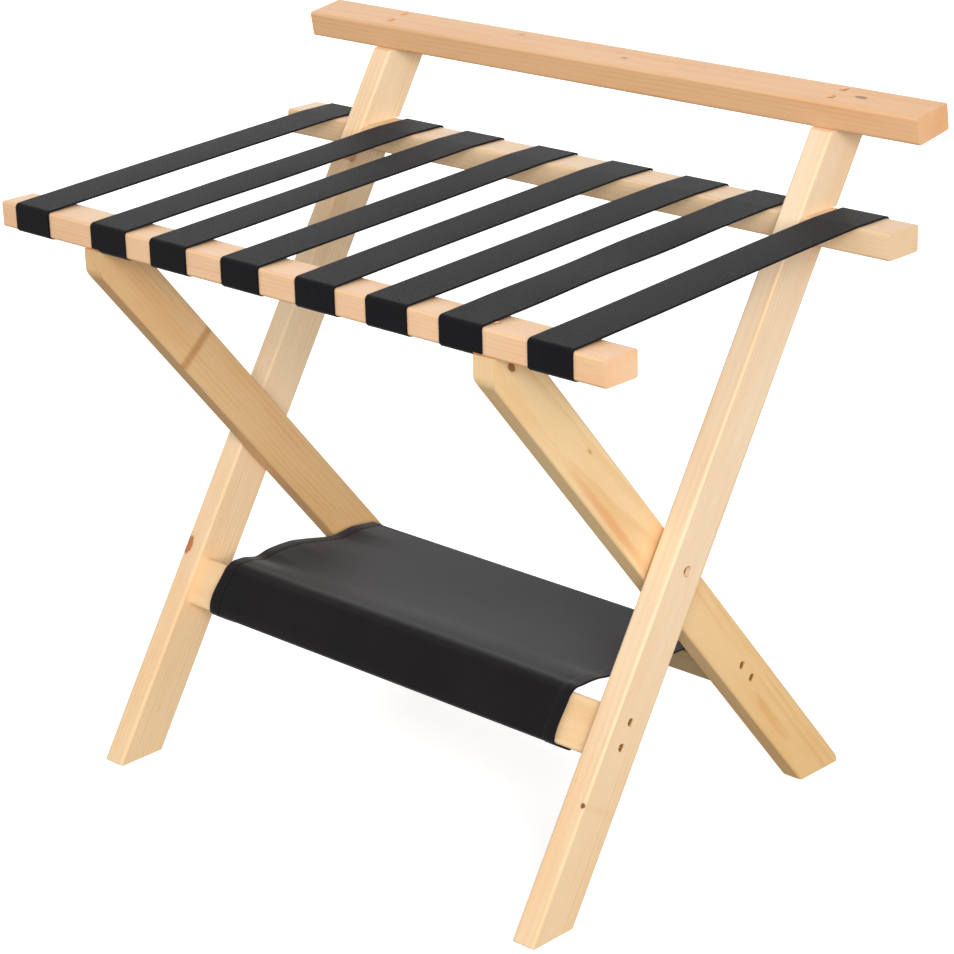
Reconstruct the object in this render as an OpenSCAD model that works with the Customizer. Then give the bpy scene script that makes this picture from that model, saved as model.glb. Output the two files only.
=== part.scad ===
// Folding luggage rack of eased pine boards. A long-legged frame carries the rear rail
// and a handrail, a short-legged frame carries the front rail. The two frames cross on a
// pivot screw each side. Webbing straps span the rails and a cloth shelf spans the stretchers.
// X runs along the rails, +Y is the handrail side, Z = 0 is the floor, units are mm.

/* [Overall] */
// Length of the seat rails and of the handrail
rail_length = 690; // [560:5:840]
// Height of the front rail's top above the floor
seat_height = 506; // [420:1:610]
// How much higher the rear rail's top sits
rear_rail_rise = 17.5; // [0:0.5:30]
// Handrail's top front edge above the rear rail's top
handrail_rise = 85.7; // [65:1:130]
// Height of the pivot axis above the floor
pivot_height = 262.5; // [215:0.5:320]
// Rail ends beyond the long legs' outer faces
rail_overhang = 83; // [60:1:100]

/* [Legs] */
// Lean of the long legs from upright, tops to the rear
long_lean = 32.25; // [26:0.05:38]
// Lean of the short legs from upright, tops to the front
short_lean = 39.2; // [32:0.1:46]
// Width of a long leg across its lean
long_w = 42.5; // [32:0.5:48]
// Thickness of a long leg
long_t = 22; // [18:0.5:28]
// Width of a short leg across its lean
short_w = 43.5; // [36:0.5:52]
// Thickness of a short leg
short_t = 21; // [16:0.5:24]
// Space between a long leg and a short leg
leg_gap = 4; // [2:0.1:8]
// Radius of the eased long edges of every board
ease_r = 2.5; // [1:0.1:4]
// Rounding under the trimmed top corner of a short leg
corner_r = 15; // [8:1:18]
// Bevel at the toe of a long leg and the heel of a short leg
foot_bevel = 3; // [1:0.5:6]
// Height of the upright trim at the heel of a short leg
heel_trim = 7; // [3:0.5:12]

/* [Rails] */
// Depth of the front rail
front_rail_d = 36; // [30:0.5:46]
// Depth of the rear rail
rear_rail_d = 39; // [32:0.5:47]
// Height of both seat rails
rail_h = 22.5; // [18:0.5:28]
// Depth of the handrail
handrail_d = 40; // [32:0.5:48]
// Height of the handrail
handrail_h = 23; // [16:0.5:26]
// Backward slope of the handrail, rear edge higher
handrail_tilt = 9; // [0:0.5:12]
// Handrail's front face behind the long leg's front edge
handrail_setback = 3.8; // [0:0.1:5]
// Front rail's front face ahead of the short leg's centre line
front_rail_lead = 10.3; // [4:0.1:16]
// Rear rail's rear face inside the long leg's rear edge
rear_rail_inset = 5.1; // [0:0.1:6]
// Depth of the lap cut in the rear rail where it crosses a leg
lap_d = 14; // [8:0.5:18]

/* [Stretchers] */
// Width of both stretchers along the legs
stretcher_w = 44; // [36:0.5:52]
// Thickness of both stretchers
stretcher_t = 22; // [18:0.5:26]
// Front stretcher's lower edge up the long leg from the floor
front_stretcher_up = 159; // [120:0.5:190]
// Rear stretcher's lower edge up the short leg from the floor
rear_stretcher_up = 127; // [100:0.5:160]
// Front stretcher's face behind the long leg's front edge
front_stretcher_in = 8.4; // [2:0.5:10]
// Rear stretcher's face behind the short leg's front edge
rear_stretcher_in = 12; // [4:0.5:16]

/* [Webbing and cloth] */
// Width of a webbing strap
strap_w = 44.5; // [38:0.5:52]
// Thickness of the webbing
strap_t = 1.4; // [1:0.1:2.5]
// Webbing folded under the front rail
strap_tuck = 24; // [15:1:28]
// Webbing down the rear face of the rear rail
strap_drop = 18; // [10:1:20]
// Long leg's inner face to the nearest inner strap
strap_leg_gap = 12.8; // [8:0.1:20]
// Outer strap's outer edge in from the rail's end
strap_end_gap = 23; // [10:0.5:30]
// Thickness of the shelf cloth
cloth_t = 1.2; // [0.8:0.1:2]
// Shelf cloth's side edges in from the short legs
cloth_margin = 6.5; // [5:0.5:20]
// How far the cloth bellies out from the front stretcher's face
cloth_belly = 5.2; // [0:0.2:8]
// Cloth up the inner face of each stretcher
cloth_tuck = 28; // [18:1:34]
// Clearance between webbing or cloth and the wood
soft_gap = 0.3; // [0.3:0.1:0.5]

/* [Fasteners] */
// Shank diameter of the pivot screw
pivot_d = 6; // [5:0.5:8]
// Radial running clearance of the pivot screw
pivot_play = 0.05; // [0.02:0.01:0.1]
// Head diameter of the pivot screw
pivot_head_d = 8.6; // [8:0.1:12]
// Diameter of the counterbore over the pivot head
pivot_bore_d = 9.6; // [9:0.1:13]
// Depth of the counterbore over the pivot head
pivot_bore_l = 9; // [6:0.5:12]
// Pivot screw's grip in the short leg
pivot_grip = 15; // [10:0.5:16]
// Outer diameter of the pivot washer
washer_d = 18; // [14:0.5:24]
// Axial play beside the washer and under the head
axial_play = 0.3; // [0.2:0.05:0.5]
// Shank diameter of a wood screw
screw_d = 4; // [3:0.1:5]
// Head diameter of a wood screw
screw_head_d = 7.4; // [6:0.1:9]
// Length of a wood screw in a stretcher or the front rail
screw_l = 45; // [38:1:50]
// Length of a wood screw in the handrail
handrail_screw_l = 32; // [28:1:36]
// Depth of a screw head below the wood
screw_sink = 1.6; // [0.5:0.1:4]
// Width of a staple's crown
staple_w = 11; // [8:0.5:14]
// Wire thickness of a staple
staple_t = 0.9; // [0.6:0.1:1.2]
// Depth of a staple's points in the wood
staple_in = 7; // [5:0.5:9]

/* [Hidden] */
$fn = 32;
eps = 1;
far = 2000;

// side positions
rail_x = rail_length / 2;
long_out = rail_x - rail_overhang;
long_in = long_out - long_t;
short_out = long_in - leg_gap;
short_in = short_out - short_t;
long_cx = long_out - long_t / 2;
short_cx = short_out - short_t / 2;

// leg centre lines and half widths in the YZ plane, y = 0 on the pivot axis
tan_l = tan(long_lean);
tan_s = tan(short_lean);
half_l = long_w / 2 / cos(long_lean);
half_s = short_w / 2 / cos(short_lean);
function yl(z) = (z - pivot_height) * tan_l;
function ys(z) = -(z - pivot_height) * tan_s;
toe_y = yl(0) - half_l;
heel_y = ys(0) + half_s;

// front rail
fr_zt = seat_height;
fr_zb = fr_zt - rail_h;
fr_y0 = ys(fr_zb) - front_rail_lead;
fr_y1 = fr_y0 + front_rail_d;
// rear rail
rr_zt = seat_height + rear_rail_rise;
rr_zb = rr_zt - rail_h;
rr_y1 = yl(rr_zt) + half_l - rear_rail_inset;
rr_y0 = rr_y1 - rear_rail_d;
// handrail, located by its lower front corner
hr_zb = rr_zt + handrail_rise - handrail_h * cos(handrail_tilt);
hr_y0 = yl(hr_zb) - half_l + handrail_setback;
hr_yr = hr_y0 + handrail_d * cos(handrail_tilt);
hr_zr = hr_zb + handrail_d * sin(handrail_tilt);

// points up a leg from its floor corner, a along the leg, b across it
function lp(a, b) = [toe_y + a * sin(long_lean) + b * cos(long_lean),
    a * cos(long_lean) - b * sin(long_lean)];
short_front_y = ys(0) - half_s;
function sp(a, b) = [short_front_y - a * sin(short_lean) + b * cos(short_lean),
    a * cos(short_lean) + b * sin(short_lean)];

// the model is centred on the floor under its bounding box
front_most = fr_y0 - soft_gap - strap_t;
rear_most = heel_y - heel_trim * tan_s;
y_shift = -(front_most + rear_most) / 2;

// screw and staple places
stretcher_screw_a = [15, 36.5];
rear_screw_a = [12.2, 32.6];
handrail_screw_y = [13.5, 31];
front_rail_screw_y = [front_rail_d * 0.42];
strap_staple_x = [-strap_w / 4, strap_w / 4];
cloth_half = short_in - cloth_margin;
cloth_staple_n = 6;

// strap centres: six spaced evenly between the legs, one over each rail end
strap_in_x = long_in - strap_leg_gap - strap_w / 2;
strap_out_x = rail_x - strap_end_gap - strap_w / 2;
strap_pitch = 2 * strap_in_x / 5;
strap_drift = [-2.6, 2.6, -3.7, 1.8, 6.1, 4.8, -1, -5.9];
function strap_x(i) = strap_drift[i] + (i == 0 ? -strap_out_x : i == 7 ? strap_out_x
    : -strap_in_x + (i - 1) * strap_pitch);

// colours of the wood, webbing, cloth and metal
c_wood = [0.93, 0.80, 0.60];
c_rail = [0.91, 0.75, 0.55];
c_strap = [0.09, 0.09, 0.10];
c_cloth = [0.12, 0.11, 0.12];
c_metal = [0.70, 0.66, 0.55];
c_nylon = [0.85, 0.84, 0.80];

// rounded rectangle from the origin
module rrect(w, h, r) {
    translate([r, 0]) square([w - 2 * r, h]);
    translate([0, r]) square([w, h - 2 * r]);
    for (x = [r, w - r], y = [r, h - r]) translate([x, y]) circle(r);
}

// board along X, centred on x = 0, from the origin to +y and +z
module bar(len, d, h) {
    rotate([90, 0, 90]) translate([0, 0, -len / 2]) linear_extrude(len) rrect(d, h, ease_r);
}

// a YZ outline made solid across X from x0 to x1
module side(x0, x1) {
    translate([x0, 0, 0]) rotate([90, 0, 90]) linear_extrude(x1 - x0) children();
}

// countersunk wood screw down -Z from z = 0, its head top at the origin
module wood_screw(len) {
    translate([0, 0, -2.4]) cylinder(h = 2.4, d1 = screw_d, d2 = screw_head_d);
    translate([0, 0, -len + 3]) cylinder(h = len - 3, d = screw_d);
    translate([0, 0, -len]) cylinder(h = 3, d1 = 1, d2 = screw_d);
}

// the same screw with its recess cut, as the finished piece
module screw_piece(len) {
    difference() {
        wood_screw(len);
        translate([0, 0, -1.3]) cylinder(h = 1.3 + eps, d = 2.6);
    }
}

// the hole for that screw, open to the surface above
module screw_hole(len) {
    wood_screw(len);
    translate([0, 0, -0.01]) cylinder(h = screw_sink + eps + 0.01, d = screw_head_d);
}

// screw frames: each puts a screw head below the surface it enters
module at_handrail_screws(s) {
    translate([s * long_cx, hr_y0, hr_zb]) rotate([handrail_tilt, 0, 0])
        for (y = handrail_screw_y) translate([0, y, handrail_h - screw_sink]) children();
}
module at_rear_rail_screw(s) {
    translate([s * long_cx, rr_y1 - screw_sink, rr_zb + rail_h / 2]) rotate([-90, 0, 0])
        children();
}
module at_front_stretcher_screws(s) {
    for (a = stretcher_screw_a) {
        p = lp(front_stretcher_up + a, front_stretcher_in + stretcher_t / 2);
        translate([s * (long_out - screw_sink), p[0], p[1]]) rotate([0, s * 90, 0]) children();
    }
}
module at_rear_stretcher_screws(s) {
    for (a = rear_screw_a) {
        p = sp(rear_stretcher_up + a, rear_stretcher_in + stretcher_t / 2);
        translate([s * (short_out - screw_sink), p[0], p[1]]) rotate([0, s * 90, 0]) children();
    }
}
module at_front_rail_screws(s) {
    for (y = front_rail_screw_y) translate([s * short_cx, fr_y0 + y, fr_zt - screw_sink])
        children();
}

// staple entering along -Z: crown above z = 0, two points below
module staple(depth) {
    translate([-staple_w / 2, -staple_t / 2, 0]) cube([staple_w, staple_t, staple_t]);
    for (x = [-staple_w / 2, staple_w / 2 - staple_t])
        translate([x, -staple_t / 2, -depth]) cube([staple_t, staple_t, depth + staple_t / 2]);
}
module staple_slots(depth, c) {
    for (x = [-staple_w / 2, staple_w / 2 - staple_t])
        translate([x - c, -staple_t / 2 - c, -depth - c])
            cube([staple_t + 2 * c, staple_t + 2 * c, depth + 10 + 2 * c]);
}
staple_d = staple_in + strap_t + 2 * soft_gap;
cloth_staple_d = staple_in + cloth_t + 2 * soft_gap;
// staples of strap i under the front rail and behind the rear rail
function tuck_x(i, x) = i == 1 ? strap_x(i) + x / 2 + strap_w / 8
    : i == 6 ? strap_x(i) + x / 2 - strap_w / 8 : strap_x(i) + x;
module at_front_strap_staples(i) {
    for (x = i == 1 ? [strap_staple_x[1]] : i == 6 ? [strap_staple_x[0]] : strap_staple_x)
        translate([tuck_x(i, x), fr_y0 + strap_tuck - 7, fr_zb - strap_t - 2 * soft_gap])
            rotate([180, 0, 0]) children();
}
module at_rear_strap_staples(i) {
    for (x = strap_staple_x)
        translate([strap_x(i) + x, rr_y1 + strap_t + 2 * soft_gap, rr_zt - strap_drop + 6])
            rotate([-90, 0, 0]) children();
}
module at_cloth_staples(k) {
    p = k == 0 ? lp(front_stretcher_up + cloth_tuck - 8, front_stretcher_in + stretcher_t)
        : sp(rear_stretcher_up + stretcher_w - cloth_tuck + 8, rear_stretcher_in + stretcher_t);
    turn = k == 0 ? -90 - long_lean : -90 + short_lean;
    for (i = [0:cloth_staple_n - 1])
        translate([(i / (cloth_staple_n - 1) * 2 - 1) * (cloth_half - 18), p[0], p[1]])
            rotate([turn, 0, 0]) translate([0, 0, cloth_t + 2 * soft_gap]) children();
}

// side outline of a long leg's ends: bevelled toe, flat foot, sloped top
module long_outline() {
    polygon([[toe_y - 7, 7 + foot_bevel], [toe_y + foot_bevel, 0], [hr_yr, 0], [hr_yr, hr_zr],
        [hr_y0 - 30 * cos(handrail_tilt), hr_zb - 30 * sin(handrail_tilt)],
        [toe_y - 7, hr_zb - 30]]);
}

module long_leg(s) {
    difference() {
        intersection() {
            translate([s * long_cx, 0, pivot_height]) rotate([-long_lean, 0, 0])
                translate([-long_t / 2, -long_w / 2, -far / 2]) linear_extrude(far)
                    rrect(long_t, long_w, ease_r);
            side(-far / 2, far / 2) long_outline();
        }
        // lap for the rear rail
        translate([s * long_cx - long_t, rr_y0 + lap_d, rr_zb]) cube([2 * long_t, 200, rail_h]);
        // pivot bore and counterbore
        translate([s * long_cx, 0, pivot_height]) rotate([0, s * 90, 0]) {
            cylinder(h = 2 * long_t, d = pivot_d + 2 * pivot_play, center = true);
            translate([0, 0, long_t / 2 - pivot_bore_l])
                cylinder(h = pivot_bore_l + eps, d = pivot_bore_d);
        }
        at_handrail_screws(s) screw_hole(handrail_screw_l);
        at_rear_rail_screw(s) screw_hole(screw_l);
        at_front_stretcher_screws(s) screw_hole(screw_l);
    }
}
module long_leg_left() {
    color(c_wood) translate([0, y_shift, 0]) long_leg(-1);
}
module long_leg_right() {
    color(c_wood) translate([0, y_shift, 0]) long_leg(1);
}

module handrail() {
    color(c_rail) translate([0, y_shift, 0]) difference() {
        translate([0, hr_y0, hr_zb]) rotate([handrail_tilt, 0, 0])
            bar(rail_length, handrail_d, handrail_h);
        for (s = [-1, 1]) at_handrail_screws(s) screw_hole(handrail_screw_l);
    }
}

module rear_rail() {
    color(c_rail) translate([0, y_shift, 0]) difference() {
        translate([0, rr_y0, rr_zb]) bar(rail_length, rear_rail_d, rail_h);
        // laps for the long legs
        for (s = [-1, 1]) translate([s * long_cx - long_t / 2, rr_y0 - eps, rr_zb - eps])
            cube([long_t, lap_d + eps, rail_h + 2 * eps]);
        for (s = [-1, 1]) at_rear_rail_screw(s) screw_hole(screw_l);
        for (i = [0:7]) at_rear_strap_staples(i) staple_slots(staple_d, 0);
    }
}

module front_stretcher() {
    p = lp(front_stretcher_up, front_stretcher_in);
    color(c_wood) translate([0, y_shift, 0]) difference() {
        translate([0, p[0], p[1]]) rotate([-long_lean, 0, 0])
            bar(2 * long_in, stretcher_t, stretcher_w);
        for (s = [-1, 1]) at_front_stretcher_screws(s) screw_hole(screw_l);
        at_cloth_staples(0) staple_slots(cloth_staple_d, 0);
    }
}

module handrail_screws() {
    color(c_metal) translate([0, y_shift, 0])
        for (s = [-1, 1]) at_handrail_screws(s) screw_piece(handrail_screw_l);
}
module rear_rail_screws() {
    color(c_metal) translate([0, y_shift, 0])
        for (s = [-1, 1]) at_rear_rail_screw(s) screw_piece(screw_l);
}
module front_stretcher_screws() {
    color(c_metal) translate([0, y_shift, 0])
        for (s = [-1, 1]) at_front_stretcher_screws(s) screw_piece(screw_l);
}

// side outline of a short leg: upright front trim under the rail, rounded below it
trim_z = pivot_height - (fr_y0 + half_s) / tan_s;
corner_l = corner_r * tan(short_lean / 2);
corner_c = [fr_y0 + corner_r, trim_z + corner_l];
corner_p = [fr_y0 + corner_l * sin(short_lean), trim_z - corner_l * cos(short_lean)];
module short_outline() {
    difference() {
        translate([-far / 2, 0]) square([far, fr_zb]);
        // heel trim
        translate([rear_most, -eps]) square([far, heel_trim + eps]);
        // material ahead of the trimmed corner, down to the tangent points
        translate([fr_y0 - far, corner_c[1]]) square([far, far]);
        polygon([[fr_y0 - far, corner_c[1] + eps], [fr_y0, corner_c[1] + eps],
            [fr_y0, corner_c[1]], corner_p, [corner_p[0] - 30, corner_p[1]],
            [fr_y0 - far, corner_p[1] - eps]]);
    }
    translate(corner_c) circle(corner_r);
}

module short_leg(s) {
    difference() {
        intersection() {
            translate([s * short_cx, 0, pivot_height]) rotate([short_lean, 0, 0])
                translate([-short_t / 2, -short_w / 2, -far / 2]) linear_extrude(far)
                    rrect(short_t, short_w, ease_r);
            side(-far / 2, far / 2) short_outline();
        }
        // blind hole gripping the pivot screw
        translate([s * short_out, 0, pivot_height]) rotate([0, s * 90, 0])
            translate([0, 0, -pivot_grip]) cylinder(h = pivot_grip + eps, d = pivot_d);
        at_front_rail_screws(s) screw_hole(screw_l);
        at_rear_stretcher_screws(s) screw_hole(screw_l);
    }
}
module short_leg_left() {
    color(c_wood) translate([0, y_shift, 0]) short_leg(-1);
}
module short_leg_right() {
    color(c_wood) translate([0, y_shift, 0]) short_leg(1);
}

module front_rail() {
    color(c_rail) translate([0, y_shift, 0]) difference() {
        translate([0, fr_y0, fr_zb]) bar(rail_length, front_rail_d, rail_h);
        for (s = [-1, 1]) at_front_rail_screws(s) screw_hole(screw_l);
        for (i = [0:7]) at_front_strap_staples(i) staple_slots(staple_d, 0);
    }
}

module rear_stretcher() {
    p = sp(rear_stretcher_up, rear_stretcher_in);
    color(c_wood) translate([0, y_shift, 0]) difference() {
        translate([0, p[0], p[1]]) rotate([short_lean, 0, 0])
            bar(2 * short_in, stretcher_t, stretcher_w);
        for (s = [-1, 1]) at_rear_stretcher_screws(s) screw_hole(screw_l);
        at_cloth_staples(1) staple_slots(cloth_staple_d, 0);
    }
}

module front_rail_screws() {
    color(c_metal) translate([0, y_shift, 0])
        for (s = [-1, 1]) at_front_rail_screws(s) screw_piece(screw_l);
}
module rear_stretcher_screws() {
    color(c_metal) translate([0, y_shift, 0])
        for (s = [-1, 1]) at_rear_stretcher_screws(s) screw_piece(screw_l);
}

// pivot screw: head in the counterbore, smooth shank, grip in the short leg
pivot_seat = long_out - pivot_bore_l + axial_play;
module pivot_screw(s) {
    color(c_metal) translate([0, y_shift, pivot_height]) rotate([0, s * 90, 0]) difference() {
        union() {
            translate([0, 0, short_out - pivot_grip])
                cylinder(h = pivot_seat - short_out + pivot_grip + eps, d = pivot_d);
            translate([0, 0, pivot_seat]) cylinder(h = 3.5, d = pivot_head_d);
        }
        translate([0, 0, pivot_seat + 1.5]) cylinder(h = 5, d = 4, $fn = 6);
    }
}
module pivot_screw_left() {
    pivot_screw(-1);
}
module pivot_screw_right() {
    pivot_screw(1);
}
module pivot_washer(s) {
    color(c_nylon) translate([0, y_shift, pivot_height]) rotate([0, s * 90, 0])
        translate([0, 0, short_out]) difference() {
            cylinder(h = leg_gap - axial_play, d = washer_d);
            translate([0, 0, -eps]) cylinder(h = leg_gap + 2 * eps, d = pivot_d + 0.4);
        }
}
module pivot_washer_left() {
    pivot_washer(-1);
}
module pivot_washer_right() {
    pivot_washer(1);
}

// ribbon of thickness t through YZ points, mitred by round joints
module ribbon(pts, t) {
    for (i = [0:len(pts) - 2]) {
        d = pts[i + 1] - pts[i];
        translate(pts[i]) rotate(atan2(d[1], d[0])) translate([0, -t / 2]) square([norm(d), t]);
    }
    for (i = [1:len(pts) - 2]) translate(pts[i]) circle(t / 2);
}

// strap: under and up the front rail, taut from its front edge to the rear rail's front
// edge, across the rear rail and down behind it
strap_o = soft_gap + strap_t / 2;
strap_path = [[fr_y0 + strap_tuck, fr_zb - strap_o], [fr_y0 - strap_o, fr_zb - strap_o],
    [fr_y0 - strap_o, fr_zt + strap_o], [rr_y0, rr_zt + strap_o], [rr_y1 + strap_o, rr_zt + strap_o],
    [rr_y1 + strap_o, rr_zt - strap_drop]];
module strap(i) {
    color(c_strap) translate([0, y_shift, 0]) difference() {
        translate([strap_x(i), 0, 0]) side(-strap_w / 2, strap_w / 2) ribbon(strap_path, strap_t);
        // the tuck is cut back from the short legs' tops
        for (s = [-1, 1])
            translate([s * short_cx - short_t / 2 - soft_gap, fr_y0 - soft_gap, fr_zb - 5])
                cube([short_t + 2 * soft_gap, 2 * front_rail_d, 5]);
        at_front_strap_staples(i) staple_slots(staple_d, soft_gap);
        at_rear_strap_staples(i) staple_slots(staple_d, soft_gap);
    }
}
module strap_1() {
    strap(0);
}
module strap_2() {
    strap(1);
}
module strap_3() {
    strap(2);
}
module strap_4() {
    strap(3);
}
module strap_5() {
    strap(4);
}
module strap_6() {
    strap(5);
}
module strap_7() {
    strap(6);
}
module strap_8() {
    strap(7);
}
module front_strap_staples() {
    color(c_metal) translate([0, y_shift, 0])
        for (i = [0:7]) at_front_strap_staples(i) staple(staple_d);
}
module rear_strap_staples() {
    color(c_metal) translate([0, y_shift, 0])
        for (i = [0:7]) at_rear_strap_staples(i) staple(staple_d);
}

// shelf cloth: up behind the front stretcher, round its foot, bellied over its face, across
// to the rear stretcher's upper rear edge and down its rear face
cloth_o = soft_gap + cloth_t / 2;
fs_a0 = front_stretcher_up - cloth_o;
fs_a1 = front_stretcher_up + stretcher_w + cloth_o;
fs_b0 = front_stretcher_in - cloth_o;
fs_b1 = front_stretcher_in + stretcher_t + cloth_o;
rs_a1 = rear_stretcher_up + stretcher_w + cloth_o;
rs_b1 = rear_stretcher_in + stretcher_t + cloth_o;
cloth_face = [for (k = [0:10])
    lp(fs_a0 + (fs_a1 - fs_a0) * k / 10, fs_b0 - cloth_belly * sin(180 * pow(k / 10, 0.65)))];
cloth_path = concat([lp(front_stretcher_up + cloth_tuck, fs_b1), lp(fs_a0, fs_b1)], cloth_face,
    [sp(rs_a1, rs_b1), sp(rear_stretcher_up + stretcher_w - cloth_tuck, rs_b1)]);
module shelf_cloth() {
    color(c_cloth) translate([0, y_shift, 0]) difference() {
        side(-cloth_half, cloth_half) ribbon(cloth_path, cloth_t);
        at_cloth_staples(0) staple_slots(cloth_staple_d, soft_gap);
        at_cloth_staples(1) staple_slots(cloth_staple_d, soft_gap);
    }
}
module front_cloth_staples() {
    color(c_metal) translate([0, y_shift, 0]) at_cloth_staples(0) staple(cloth_staple_d);
}
module rear_cloth_staples() {
    color(c_metal) translate([0, y_shift, 0]) at_cloth_staples(1) staple(cloth_staple_d);
}

long_leg_left();
long_leg_right();
handrail();
rear_rail();
front_stretcher();
handrail_screws();
rear_rail_screws();
front_stretcher_screws();
short_leg_left();
short_leg_right();
front_rail();
rear_stretcher();
front_rail_screws();
rear_stretcher_screws();
pivot_screw_left();
pivot_screw_right();
pivot_washer_left();
pivot_washer_right();
strap_1();
strap_2();
strap_3();
strap_4();
strap_5();
strap_6();
strap_7();
strap_8();
front_strap_staples();
rear_strap_staples();
shelf_cloth();
front_cloth_staples();
rear_cloth_staples();
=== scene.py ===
# %% [markdown]
# # A folding luggage rack
# Two pairs of pine legs cross on pivot screws. The long pair carries the rear seat rail and
# a raised handrail, the short pair carries the front seat rail. Eight black webbing straps
# span the rails, and a dark cloth shelf is stretched between two stretchers near the floor.
# The wood and the metal are exact solids already. This lesson gives them their finishes and
# makes the webbing and the cloth, which a solid modeller can only draw as flat bands.

# %% Load the frame
from math import cos, pi, radians, sin

import bpy
import numpy as np
from mathutils import Matrix, Vector


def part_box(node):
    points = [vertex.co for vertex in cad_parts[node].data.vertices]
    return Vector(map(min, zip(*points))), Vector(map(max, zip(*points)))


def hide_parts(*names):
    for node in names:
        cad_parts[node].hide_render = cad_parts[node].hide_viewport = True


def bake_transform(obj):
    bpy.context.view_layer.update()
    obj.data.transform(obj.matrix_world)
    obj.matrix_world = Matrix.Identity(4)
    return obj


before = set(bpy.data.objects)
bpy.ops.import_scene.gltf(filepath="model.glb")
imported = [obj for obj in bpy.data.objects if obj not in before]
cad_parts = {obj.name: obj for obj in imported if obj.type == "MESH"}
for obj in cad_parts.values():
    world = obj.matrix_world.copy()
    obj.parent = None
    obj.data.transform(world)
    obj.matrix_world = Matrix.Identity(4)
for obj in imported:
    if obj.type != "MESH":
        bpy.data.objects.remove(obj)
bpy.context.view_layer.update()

# %% [markdown]
# ## The camera
# A product picture is taken with a long lens from some way off, so that upright lines stay
# nearly parallel. The camera is placed by its bearing, its height angle and a slight roll,
# turned into three axis directions: right, up and back. A matrix made of those columns says
# exactly where it looks, with no target object to keep in step.

# %% Camera at the picture's angle
def look(bearing, height, roll):
    """Back is the direction from the object to the camera, right is level and square to it,
    up completes the set, and the roll turns right and up about back."""
    a, e, r = radians(bearing), radians(height), radians(roll)
    back = Vector((sin(a) * cos(e), -cos(a) * cos(e), sin(e)))
    right = Vector((cos(a), sin(a), 0))
    up = back.cross(right)
    return right * cos(r) + up * sin(r), up * cos(r) - right * sin(r), back


camera = bpy.data.objects.new("camera", bpy.data.cameras.new("camera"))
bpy.context.collection.objects.link(camera)
turned = Matrix(look(44.2475, 20.4149, -1.5411)).transposed()
camera.matrix_world = Matrix.Translation((1.65847, -1.69329, 1.15612)) @ turned.to_4x4()
camera.data.lens, camera.data.sensor_width = 111.036, 36
bpy.context.scene.camera = camera
print("camera", tuple(round(v, 3) for v in camera.location))

# %% [markdown]
# ## Node helpers
# Every finish below is a small graph of nodes. Four helpers keep those graphs readable: one
# adds a node and wires its inputs, one does arithmetic, one fades a value between two limits
# and one mixes two colours. A fifth opens a node group with named sockets, for effects that
# several finishes share.

# %% Helpers that build node graphs
def add(tree, kind, inputs=None, **options):
    """One node. Each input is a number, a colour, or another node's output to wire in."""
    n = tree.nodes.new(kind)
    for name, value in options.items():
        setattr(n, name, value)
    for name, value in (inputs or {}).items():
        if isinstance(value, bpy.types.NodeSocket):
            tree.links.new(value, n.inputs[name])
        else:
            n.inputs[name].default_value = value
    return n


def calc(tree, operation, a, b=0.0, c=0.0):
    """One sum on numbers."""
    return add(tree, "ShaderNodeMath", {0: a, 1: b, 2: c}, operation=operation).outputs[0]


def vcalc(tree, operation, a, b=(0, 0, 0)):
    """One sum on vectors. A length or a dot product comes out as a number."""
    n = add(tree, "ShaderNodeVectorMath", {0: a, 1: b}, operation=operation)
    return n.outputs["Value" if operation in ("LENGTH", "DOT_PRODUCT") else "Vector"]


def fade(tree, value, low, high):
    """0 below low, 1 above high, and a smooth S between. It runs down where low > high."""
    up = low < high
    n = add(tree, "ShaderNodeMapRange", {"Value": value, "From Min": min(low, high),
            "From Max": max(low, high), "To Min": 0.0 if up else 1.0,
            "To Max": 1.0 if up else 0.0}, interpolation_type="SMOOTHSTEP")
    return n.outputs["Result"]


def mix(tree, share, a, b, way="MIX"):
    """Two colours mixed by a share from 0 to 1."""
    n = add(tree, "ShaderNodeMix", {0: share, 6: a, 7: b}, data_type="RGBA", blend_type=way)
    return n.outputs[2]


def cloud(tree, vector, size=1.0, detail=2.0, rough=0.5):
    """Smooth noise from 0 to 1 with features about 1 / size across."""
    n = add(tree, "ShaderNodeTexNoise", {"Vector": vector, "Scale": size, "Detail": detail,
            "Roughness": rough})
    return n.outputs["Fac"]


def new_group(name, inputs, outputs):
    """An empty node group with its sockets. Inputs are (name, kind, value)."""
    g = bpy.data.node_groups.new(name, "ShaderNodeTree")
    for label, kind, value in inputs:
        g.interface.new_socket(label, in_out="INPUT", socket_type=kind).default_value = value
    for label, kind in outputs:
        g.interface.new_socket(label, in_out="OUTPUT", socket_type=kind)
    return g, g.nodes.new("NodeGroupInput").outputs, g.nodes.new("NodeGroupOutput").inputs


def place(tree, group, inputs):
    """A node group put in a graph with its inputs wired or set; gives its outputs."""
    n = tree.nodes.new("ShaderNodeGroup")
    n.node_tree = group
    for name, value in inputs.items():
        if isinstance(value, bpy.types.NodeSocket):
            tree.links.new(value, n.inputs[name])
        else:
            n.inputs[name].default_value = value
    return n.outputs


FLOAT, VECTOR, COLOUR = "NodeSocketFloat", "NodeSocketVector", "NodeSocketColor"


def tone(r, g, b):
    """A paint-chart colour, 0 to 255 a channel, as the light values a shader wants."""
    c = np.array([r, g, b]) / 255
    return (*np.where(c < 0.04045, c / 12.92, ((c + 0.055) / 1.055) ** 2.4).tolist(), 1.0)


def new_finish(name):
    """A material with its graph cleared but for the shader and the output."""
    m = bpy.data.materials.new(name)
    m.use_nodes = True
    m.node_tree.nodes.clear()
    shader = add(m.node_tree, "ShaderNodeBsdfPrincipled")
    out = add(m.node_tree, "ShaderNodeOutputMaterial")
    m.node_tree.links.new(shader.outputs["BSDF"], out.inputs["Surface"])
    return m, m.node_tree, shader


print("helpers ready")

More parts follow.
